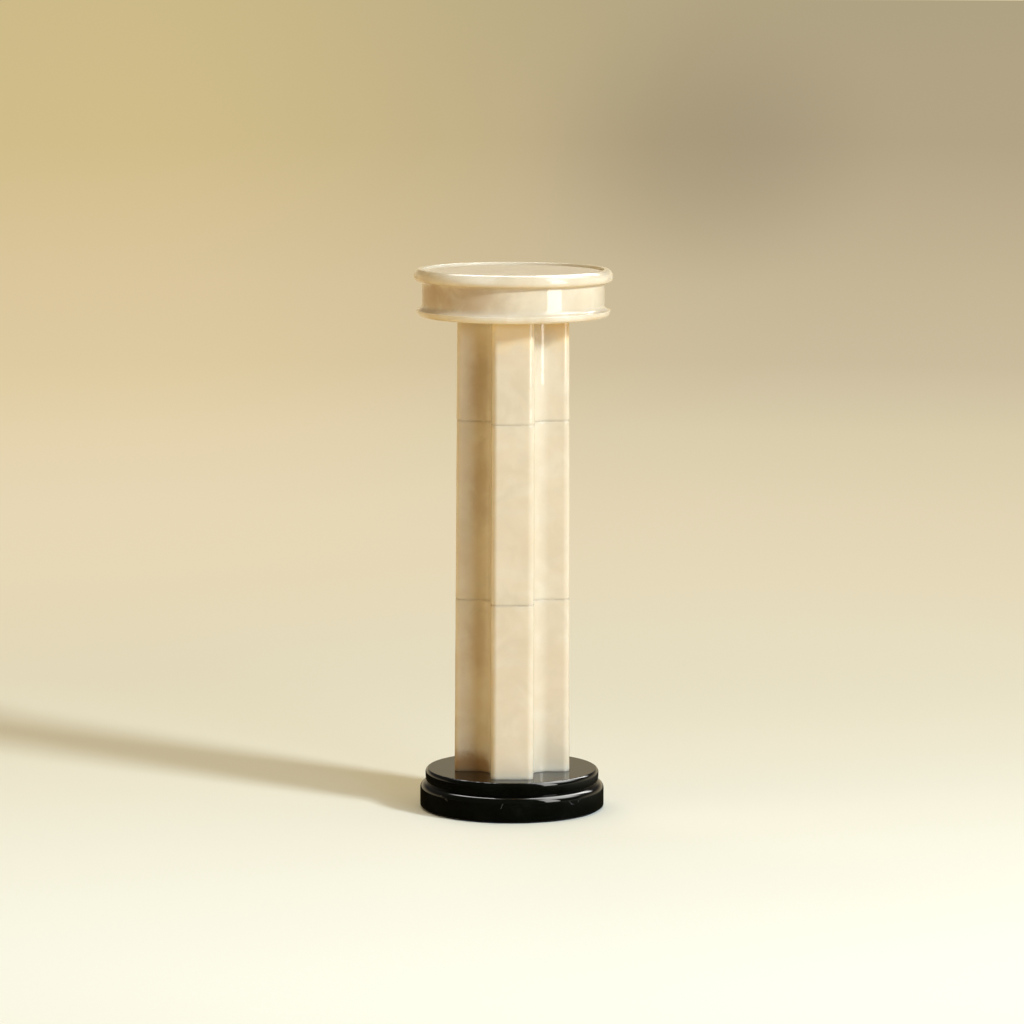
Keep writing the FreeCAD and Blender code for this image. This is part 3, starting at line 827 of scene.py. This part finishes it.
def make_fibre():
    """Vulcanised fibre: brick red, with pressed paper fibres."""
    material, tree, shader = new_material("fibre")
    position = object_position(tree)
    laid = add(tree, "ShaderNodeMapping", {
        "Vector": position, "Rotation": (0.0, 0.0, 0.6), "Scale": (400.0, 2600.0, 400.0),
    }).outputs["Vector"]
    strands = noise(tree, laid, 1.0, 3.0, 0.6, 0.6)
    red = blend_colours(tree, strands, (0.22, 0.065, 0.035, 1), (0.36, 0.130, 0.075, 1))
    grain = use_group(tree, GRAIN, {"Position": position, "Grains per Metre": 2200.0})
    roughness = speckled(tree, grain, 0.70, 0.82)
    height = maths(tree, "ADD", strands, grain["Height"])
    bump = {"Height": height, "Strength": 0.4, "Distance": 0.00008}
    finish_surface(tree, shader, red, roughness, bump)
    return material


def make_felt():
    """Black pressed felt: matted fibres with a soft nap."""
    material, tree, shader = new_material("felt")
    position = object_position(tree)
    matted = noise(tree, position, 1500.0, 5.0, 0.7, 2.5)
    black = blend_colours(tree, matted, (0.010, 0.010, 0.010, 1), (0.032, 0.031, 0.029, 1))
    grain = use_group(tree, GRAIN, {"Position": position, "Grains per Metre": 1800.0})
    roughness = speckled(tree, grain, 0.88, 0.97)
    height = maths(tree, "ADD", matted, grain["Height"])
    bump = {"Height": height, "Strength": 0.8, "Distance": 0.0003}
    finish_surface(tree, shader, black, roughness, bump)
    shader.inputs["Sheen Weight"].default_value = 0.3
    return material


# ---------------------------------------------------------------- stage, light and camera

# the floor: as the camera sees it, darker towards the back as painted shade, as the polish mirrors
# it close by and towards the front, and as it colours the light that it sends up
FLOOR_TOWARDS_FRONT = (0.985, 0.980, 0.865, 1)
FLOOR_TOWARDS_BACK_SHADED = (0.850, 0.800, 0.640, 1)
MIRRORED_FLOOR = (0.030, 0.025, 0.015, 1)
BOUNCE_FLOOR = (0.880, 0.680, 0.370, 1)
# share of the way to the horizon, and the backdrop's colour there on the left and on the right
BACKDROP = (
    (0.20, (0.810, 0.700, 0.475, 1), (0.830, 0.740, 0.530, 1)),
    (0.40, (0.800, 0.680, 0.462, 1), (0.760, 0.660, 0.456, 1)),
    (0.49, (0.780, 0.650, 0.418, 1), (0.695, 0.610, 0.413, 1)),
    (0.57, (0.735, 0.597, 0.356, 1), (0.600, 0.505, 0.337, 1)),
    (0.66, (0.715, 0.570, 0.337, 1), (0.558, 0.468, 0.305, 1)),
    (0.81, (0.638, 0.509, 0.254, 1), (0.456, 0.371, 0.238, 1)),
    (0.95, (0.610, 0.491, 0.246, 1), (0.428, 0.361, 0.223, 1)),
)
HORIZON = (0.800, 0.670, 0.430, 1)
# soft dim patch of the backdrop: its place and reach, sideways and as a share of the way
DIM_PLACE = (0.045, 0.80)
DIM_REACH = (0.050, 0.17)
HUB_RADIUS = 0.02
FLOOR_RADIUS = 40.0
FLOOR_RINGS = 60
FLOOR_STEPS = 128
HALFWAY_DISTANCE = 2.0              # the floor is half of the way to the horizon here
# the room's light on the stones, from the horizon and from overhead
LOW_GLOW = (0.06, 0.05, 0.04, 1)
OVERHEAD_GLOW = (0.90, 0.75, 0.47, 1)
# what the polish mirrors: dim overhead, a bright arch over the back, a soft bright patch high on
# the right, and the unlit front of the room
OVERHEAD_MIRRORED = (0.10, 0.09, 0.08, 1)
CANOPY = (11.0, 10.8, 10.3, 1)
SKYLIGHT = (9.0, 8.9, 8.5, 1)
SKYLIGHT_TOWARDS = (0.55, 0.06, 0.80)
DARK_FRONT = (0.05, 0.045, 0.03, 1)
# each lamp's shape, size, watts, colour, place (azimuth, elevation and distance), the height on
# the axis that it is aimed at, and the rays besides the camera's that don't see it: a key from the
# right that casts the shadow, soft fills from the front, left and back, and the tall window that
# the polish mirrors
LAMPS = {
    "key": ("DISK", (0.70, 0.70), 158.0, (0.77, 0.87, 1.0), (53, 28, 4.0), 0.15, "glossy"),
    "fill": ("RECTANGLE", (1.00, 0.75), 30.0, (0.36, 0.61, 1.0), (29, 12, 3.0), 0.15, "glossy"),
    "left": ("RECTANGLE", (1.20, 0.80), 11.0, (1.0, 0.87, 0.62), (-65, 6, 2.5), 0.15, "glossy"),
    "back": ("RECTANGLE", (2.0, 1.2), 10.0, (1.0, 1.0, 1.0), (205, 35, 2.6), 0.15, "glossy"),
    "window": ("RECTANGLE", (0.34, 1.20), 9.0, (1.0, 0.98, 0.93), (52, 0, 1.0), 0.735, "diffuse"),
}
CAMERA_PLACE = (-0.0004, -2.3892, 0.4739)
CAMERA_TARGET = (-0.0004, 0.0, 0.1653)
CAMERA_ROLL = 0.17                  # degrees
CAMERA_LENS = 153.2                 # millimetres
CAMERA_SENSOR = 36.0                # millimetres


def seen_or_mirrored(tree, rays):
    """1 for rays from the camera, a mirror finish or glass, and 0 for the light on the stones."""
    seen = maths(tree, "MAXIMUM", rays["Is Camera Ray"], rays["Is Glossy Ray"])
    return maths(tree, "MAXIMUM", seen, rays["Is Transmission Ray"])


def make_floor():
    """Pale floor: a wide disc of rings that grow outwards in equal ratios.

    It takes the trophy's shadow close by, fades into the backdrop's own glow further off, and
    isn't there from below.
    """
    ring = np.geomspace(HUB_RADIUS, FLOOR_RADIUS, FLOOR_RINGS)[:, None]
    angle = np.linspace(0, 2 * math.pi, FLOOR_STEPS, endpoint=False)
    flat = np.stack([ring * np.cos(angle), ring * np.sin(angle), 0 * ring * angle], axis=-1)
    points = np.vstack([flat.reshape(-1, 3), [[0, 0, 0]]])
    index = np.arange(flat.shape[0] * flat.shape[1]).reshape(flat.shape[:2])
    inner, outer = index[:-1], index[1:]
    quads = np.stack(
        [inner, outer, np.roll(outer, -1, axis=1), np.roll(inner, -1, axis=1)], axis=-1
    )
    first = index[0]
    hub = np.stack([np.full_like(first, len(points) - 1), first, np.roll(first, -1)], axis=-1)
    mesh = bpy.data.meshes.new("floor")
    mesh.from_pydata(points.tolist(), [], quads.reshape(-1, 4).tolist() + hub.tolist())
    floor = bpy.data.objects.new("floor", mesh)
    bpy.context.scene.collection.objects.link(floor)

    material, tree, shader = new_material("floor")
    shader.inputs["Roughness"].default_value = 0.9
    shader.inputs["Specular IOR Level"].default_value = 0.0
    rays = add(tree, "ShaderNodeLightPath").outputs
    seen = seen_or_mirrored(tree, rays)
    position = object_position(tree)
    place = add(tree, "ShaderNodeSeparateXYZ", {0: position}).outputs
    # painted shade: the floor darkens from the front to the back
    near = blend_colours(
        tree, spread(tree, place["Y"], -0.45, 0.45), FLOOR_TOWARDS_FRONT, FLOOR_TOWARDS_BACK_SHADED
    )
    # the polish mirrors it dark close by, less so on the right, and dark towards the front
    distance = measure(tree, "LENGTH", position)
    close = spread(tree, distance, 0.22, 0.80, 1.0, 0.0)
    close = maths(tree, "MULTIPLY", close, spread(tree, place["X"], 0.06, 0.20, 1.0, 0.45))
    close = maths(tree, "MULTIPLY", close, rays["Is Glossy Ray"])
    front = maths(tree, "MULTIPLY", spread(tree, place["Y"], 0.0, -0.35), rays["Is Glossy Ray"])
    near = blend_colours(tree, maths(tree, "MAXIMUM", close, front), near, MIRRORED_FLOOR)
    tree.links.new(blend_colours(tree, seen, BOUNCE_FLOOR, near), shader.inputs["Base Color"])
    # far off it glows with the backdrop's colours, dimmer in one soft patch and towards the front
    whole = maths(tree, "ADD", distance, HALFWAY_DISTANCE)
    share = maths(tree, "DIVIDE", distance, whole)
    sideways = maths(tree, "DIVIDE", place["X"], whole)
    backdrop = blend_colours(
        tree, spread(tree, sideways, -0.10, 0.08),
        colour_ramp(tree, share, [(stop, left) for stop, left, _ in BACKDROP]),
        colour_ramp(tree, share, [(stop, right) for stop, _, right in BACKDROP]),
    )
    spot = add(tree, "ShaderNodeCombineXYZ", {"X": sideways, "Y": share}).outputs["Vector"]
    from_dim = vectors(tree, "SUBTRACT", spot, (*DIM_PLACE, 0.0))
    dim = measure(tree, "LENGTH", vectors(tree, "DIVIDE", from_dim, (*DIM_REACH, 1.0)))
    strength = maths(
        tree, "MULTIPLY", spread(tree, dim, 0.1, 1.0, 0.84, 1.0),
        spread(tree, front, 0.0, 1.0, 1.0, 0.06),
    )
    glow = add(tree, "ShaderNodeEmission", {"Color": backdrop, "Strength": strength})
    far = maths(tree, "MULTIPLY", spread(tree, distance, 0.4, 1.1), seen)
    surface = add(tree, "ShaderNodeMixShader", {
        0: far, 1: shader.outputs["BSDF"], 2: glow.outputs["Emission"],
    })
    below = add(tree, "ShaderNodeNewGeometry").outputs["Backfacing"]
    clear = add(tree, "ShaderNodeBsdfTransparent")
    surface = add(tree, "ShaderNodeMixShader", {
        0: below, 1: surface.outputs["Shader"], 2: clear.outputs["BSDF"],
    })
    tree.links.new(surface.outputs["Shader"], tree.nodes["Material Output"].inputs["Surface"])
    material.cycles.emission_sampling = "NONE"
    mesh.materials.append(material)


def make_world():
    """Room light: dim from the horizon and bright and warm from overhead.

    The camera sees a plain backdrop instead, and the polish mirrors that backdrop with its front
    unlit, a bright arch over the back and a soft bright patch high on the right.
    """
    world = bpy.data.worlds.new("room")
    bpy.context.scene.world = world
    world.use_nodes = True
    tree = world.node_tree
    direction = add(tree, "ShaderNodeTexCoord").outputs["Generated"]
    place = add(tree, "ShaderNodeSeparateXYZ", {0: direction}).outputs
    height = place["Z"]
    overhead = spread(tree, height, 0.45, 0.95)
    light = blend_colours(tree, overhead, LOW_GLOW, OVERHEAD_GLOW)
    backdrop = blend_colours(tree, spread(tree, height, 0.05, 0.35), HORIZON, OVERHEAD_MIRRORED)
    rays = add(tree, "ShaderNodeLightPath").outputs
    front = maths(tree, "MULTIPLY", spread(tree, place["Y"], 0.30, -0.05), rays["Is Glossy Ray"])
    backdrop = blend_colours(tree, front, backdrop, DARK_FRONT)
    # the arch starts overhead, bows back at its sides and comes lower on the right
    bow = maths(tree, "MULTIPLY", maths(tree, "MULTIPLY", place["X"], place["X"]), 1.3)
    behind = spread(tree, maths(tree, "SUBTRACT", place["Y"], bow), -0.03, 0.04)
    lift = maths(tree, "MULTIPLY", maths(tree, "MAXIMUM", place["X"], 0.0), 0.5)
    above = spread(tree, maths(tree, "ADD", height, lift), 0.70, 0.86)
    backdrop = blend_colours(tree, maths(tree, "MULTIPLY", behind, above), backdrop, CANOPY)
    away = measure(tree, "LENGTH", vectors(tree, "SUBTRACT", direction, SKYLIGHT_TOWARDS))
    backdrop = blend_colours(tree, spread(tree, away, 0.15, 0.48, 1.0, 0.0), backdrop, SKYLIGHT)
    colour = blend_colours(tree, seen_or_mirrored(tree, rays), light, backdrop)
    tree.links.new(colour, tree.nodes["Background"].inputs["Color"])


def aim(thing, place, target):
    """Put a lamp or the camera at place, looking at target."""
    thing.location = place
    look = np.subtract(target, place)
    across = math.hypot(look[0], look[1])
    thing.rotation_euler = (
        math.pi / 2 + math.atan2(look[2], across), 0.0, math.atan2(-look[0], look[1])
    )


def place_at(azimuth, elevation, distance, centre):
    """Point at a distance from centre: azimuth in degrees from -Y towards +X, and elevation."""
    turn, lift = math.radians(azimuth), math.radians(elevation)
    return (
        centre[0] + distance * math.cos(lift) * math.sin(turn),
        centre[1] - distance * math.cos(lift) * math.cos(turn),
        centre[2] + distance * math.sin(lift),
    )


def add_lamp(name, shape, size, watts, colour, place, height, unseen_by):
    """An area lamp that neither the camera nor the rays of one other kind see."""
    light = bpy.data.lights.new(name, "AREA")
    light.shape = shape
    light.size = size[0]
    light.size_y = size[1]
    light.energy = watts
    light.color = colour
    lamp = bpy.data.objects.new(name, light)
    bpy.context.scene.collection.objects.link(lamp)
    target = (0.0, 0.0, height)
    aim(lamp, place_at(*place, target), target)
    lamp.visible_camera = False
    setattr(lamp, "visible_" + unseen_by, False)


def make_camera():
    """Camera in front of the trophy, higher than the capital and looking down a little."""
    camera = bpy.data.objects.new("camera", bpy.data.cameras.new("camera"))
    bpy.context.scene.collection.objects.link(camera)
    camera.data.lens = CAMERA_LENS
    camera.data.sensor_width = CAMERA_SENSOR
    camera.data.clip_end = 200.0
    aim(camera, CAMERA_PLACE, CAMERA_TARGET)
    camera.rotation_euler.rotate_axis("Z", math.radians(CAMERA_ROLL))
    bpy.context.scene.camera = camera


# ---------------------------------------------------------------- the trophy

onyx = make_onyx()
marble = make_marble()
steel = make_steel()
fibre = make_fibre()

lower_disc(marble)
upper_disc(marble)
for name in DRUMS:
    drum(name, onyx)
cured = make_resin()
resin("joint_resin_lower", level(DRUMS[0], 1), JOINT_FILM, cured)
resin("joint_resin_upper", level(DRUMS[1], 1), JOINT_FILM, cured)
resin("joint_resin_foot", SHAFT_FOOT, FOOT_FILM, cured)
capital(onyx)
inlay(make_inlay_stone())

# pieces that keep the frame's own solids, with their finishes
OWN_SOLIDS = {
    "felt_pad": make_felt(),
    "tie_rod": steel, "top_nut": steel, "top_washer": steel, "top_fibre_washer": fibre,
    "bottom_nut": steel, "bottom_spring_washer": steel, "bottom_washer": steel,
    "bottom_fibre_washer": fibre, "alignment_dowels": steel,
}
for name, material in OWN_SOLIDS.items():
    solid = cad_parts[name]
    solid.data.materials.clear()
    solid.data.materials.append(material)

make_floor()
make_world()
for name, settings in LAMPS.items():
    add_lamp(name, *settings)
make_camera()
bpy.context.scene.view_settings.view_transform = "Standard"
